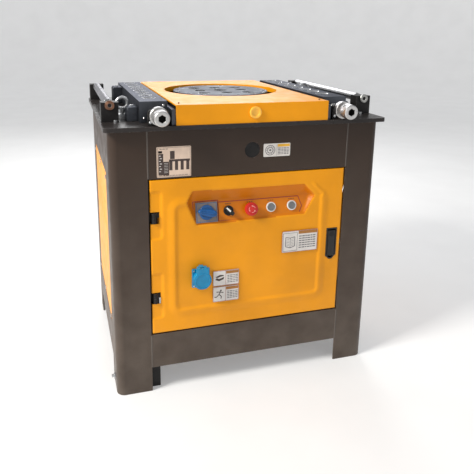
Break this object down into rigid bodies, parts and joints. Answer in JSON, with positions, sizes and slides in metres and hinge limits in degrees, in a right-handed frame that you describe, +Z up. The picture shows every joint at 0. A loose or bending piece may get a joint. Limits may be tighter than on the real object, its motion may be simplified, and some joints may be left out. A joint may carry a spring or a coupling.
{
  "type": "rebar bender",
  "caption": "Floor-standing steel bar bending machine: cabinet with hinged control door, geared turning work disc, sliding stop strips with adjusting screws, and side rollers.",
  "frame": {"origin": "on the floor under the middle of the machine's box; the disc's axis is at X 0, Y 0.0415", "axes": "+Z up, along the disc's axis, +X to the operator's right, +Y away from the operator"},
  "size_m": [0.8432, 0.737, 0.8845],
  "materials": {
    "frame_paint": "semi-gloss grey-brown enamel",
    "table_paint": "semi-gloss grey-brown enamel, worn",
    "yellow_paint": "glossy yellow enamel",
    "recess_paint": "glossy yellow enamel",
    "dark_steel": "ground steel, oiled",
    "bright_steel": "turned bright steel",
    "zinc_steel": "zinc-plated",
    "black_steel": "black paint",
    "cast_iron": "primed casting",
    "gear_steel": "machined, oiled",
    "motor_paint": "blue-grey enamel",
    "belt_rubber": "matt",
    "black_plastic": "matt",
    "yellow_plastic": "gloss",
    "grey_plastic": "matt",
    "blue_plastic": "gloss",
    "red_plastic": "gloss",
    "label_film": "printed film"
  },
  "bodies": {
    "frame": {"post_front_left": "frame_paint", "post_front_right": "frame_paint", "post_rear_left": "frame_paint", "post_rear_right": "frame_paint", "hinge_bar": "black_steel", "front_rails": "frame_paint", "rear_rails": "frame_paint", "side_rails": "frame_paint", "side_panels": "yellow_paint", "rear_panel": "yellow_paint", "cable_gland": "black_plastic", "table_plate": "table_paint", "table_cover": "yellow_paint", "hole_plugs": "yellow_plastic", "strip_guides": "dark_steel", "screw_bearings": "black_steel", "roller_brackets": "black_steel", "lifting_eyes": "zinc_steel", "shaft_bearings": "gear_steel", "gear_case": "cast_iron", "gear_case_lid": "cast_iron", "motor_mount": "black_steel", "motor_shell": "motor_paint", "v_belts": "belt_rubber", "electrical_plate": "zinc_steel", "control_gear": "grey_plastic", "rail_labels": "label_film", "frame_screws": "zinc_steel"},
    "disc": {"work_disc": "dark_steel", "main_shaft": "gear_steel", "output_gear": "gear_steel"},
    "second": {"second_shaft": "gear_steel", "second_gear": "gear_steel"},
    "first": {"first_shaft": "gear_steel", "first_gear": "gear_steel"},
    "input": {"input_shaft": "gear_steel", "large_pulley": "cast_iron"},
    "motor": {"motor_rotor": "gear_steel", "small_pulley": "cast_iron"},
    "left_roller": {"left_roller": "bright_steel"},
    "right_roller": {"right_roller": "bright_steel"},
    "left_strip": {"left_strip": "dark_steel"},
    "right_strip": {"right_strip": "dark_steel"},
    "left_screw": {"left_screw": "bright_steel"},
    "right_screw": {"right_screw": "bright_steel"},
    "door": {"door_panel": "yellow_paint", "control_tray": "recess_paint", "switch_bodies": "grey_plastic", "door_hinges": "black_steel", "latch_housing": "black_plastic", "socket_body": "blue_plastic", "door_labels": "label_film"},
    "main_switch": {"main_switch": "blue_plastic"},
    "selector": {"selector": "black_plastic"},
    "e_stop": {"e_stop": "red_plastic"},
    "inner_button": {"inner_button": "grey_plastic"},
    "outer_button": {"outer_button": "grey_plastic"},
    "latch_lever": {"latch_lever": "black_plastic"},
    "latch_tongue": {"latch_tongue": "zinc_steel"},
    "socket_flap": {"socket_flap": "blue_plastic"}
  },
  "joints": [
    {"name": "disc_turn", "type": "hinge", "parent": "frame", "child": "disc", "pos_m": [0, 0.0415, 0.85], "axis": [0, 0, 1], "continuous": true},
    {"name": "second_shaft_turn", "type": "hinge", "parent": "frame", "child": "second", "pos_m": [-0.19968, -0.03118, 0.7], "axis": [0, 0, 1], "continuous": true},
    {"name": "first_shaft_turn", "type": "hinge", "parent": "frame", "child": "first", "pos_m": [-0.2292, 0.13624, 0.7], "axis": [0, 0, 1], "continuous": true},
    {"name": "input_shaft_turn", "type": "hinge", "parent": "frame", "child": "input", "pos_m": [-0.16545, 0.24666, 0.7], "axis": [0, 0, 1], "continuous": true},
    {"name": "motor_turn", "type": "hinge", "parent": "frame", "child": "motor", "pos_m": [0.11, 0.2015, 0.4], "axis": [0, 0, 1], "continuous": true},
    {"name": "left_roller_turn", "type": "hinge", "parent": "frame", "child": "left_roller", "pos_m": [-0.394, 0.0415, 0.868], "axis": [0, 1, 0], "continuous": true},
    {"name": "right_roller_turn", "type": "hinge", "parent": "frame", "child": "right_roller", "pos_m": [0.394, 0.0415, 0.868], "axis": [0, 1, 0], "continuous": true},
    {"name": "left_screw_turn", "type": "hinge", "parent": "frame", "child": "left_screw", "pos_m": [-0.2735, -0.2985, 0.848], "axis": [0, 1, 0], "range_deg": [-1728, 2016]},
    {"name": "right_screw_turn", "type": "hinge", "parent": "frame", "child": "right_screw", "pos_m": [0.2735, -0.2985, 0.848], "axis": [0, 1, 0], "range_deg": [-1728, 2016]},
    {"name": "left_strip_slide", "type": "slide", "parent": "frame", "child": "left_strip", "axis": [0, 1, 0], "range_m": [-0.028, 0.024]},
    {"name": "right_strip_slide", "type": "slide", "parent": "frame", "child": "right_strip", "axis": [0, 1, 0], "range_m": [-0.028, 0.024]},
    {"name": "door_swing", "type": "hinge", "parent": "frame", "child": "door", "pos_m": [-0.289, -0.2955, 0.43], "axis": [0, 0, 1], "range_deg": [-110, 0]},
    {"name": "latch_lift", "type": "hinge", "parent": "door", "child": "latch_lever", "pos_m": [0.27, -0.296, 0.384], "axis": [1, 0, 0], "range_deg": [0, 60]},
    {"name": "latch_bolt", "type": "slide", "parent": "door", "child": "latch_tongue", "axis": [1, 0, 0], "range_m": [-0.012, 0]},
    {"name": "main_switch_turn", "type": "hinge", "parent": "door", "child": "main_switch", "pos_m": [-0.134, -0.28653, 0.556], "axis": [0, -0.9732, 0.2298], "range_deg": [-90, 0]},
    {"name": "selector_turn", "type": "hinge", "parent": "door", "child": "selector", "pos_m": [-0.067, -0.28653, 0.556], "axis": [0, -0.9732, 0.2298], "range_deg": [-90, 0]},
    {"name": "e_stop_press", "type": "slide", "parent": "door", "child": "e_stop", "axis": [0, 0.9732, -0.2298], "range_m": [0, 0.004]},
    {"name": "inner_button_press", "type": "slide", "parent": "door", "child": "inner_button", "axis": [0, 0.9732, -0.2298], "range_m": [0, 0.003], "stiffness_N_per_m": 300, "springref_m": -0.002},
    {"name": "outer_button_press", "type": "slide", "parent": "door", "child": "outer_button", "axis": [0, 0.9732, -0.2298], "range_m": [0, 0.003], "stiffness_N_per_m": 300, "springref_m": -0.002},
    {"name": "socket_flap_swing", "type": "hinge", "parent": "door", "child": "socket_flap", "pos_m": [-0.155, -0.3155, 0.396], "axis": [1, 0, 0], "range_deg": [-110, 0], "stiffness_Nm_per_rad": 0.05, "springref_deg": 17.19}
  ],
  "couplings": [
    {"joint": "second_shaft_turn", "follows": "disc_turn", "ratio": -4},
    {"joint": "first_shaft_turn", "follows": "disc_turn", "ratio": 16},
    {"joint": "input_shaft_turn", "follows": "disc_turn", "ratio": -64},
    {"joint": "motor_turn", "follows": "disc_turn", "ratio": -128},
    {"joint": "left_screw_turn", "follows": "left_strip_slide", "rad_per_m": -1256.6},
    {"joint": "right_screw_turn", "follows": "right_strip_slide", "rad_per_m": -1256.6},
    {"joint": "latch_lift", "follows": "latch_bolt", "rad_per_m": -87.26}
  ]
}
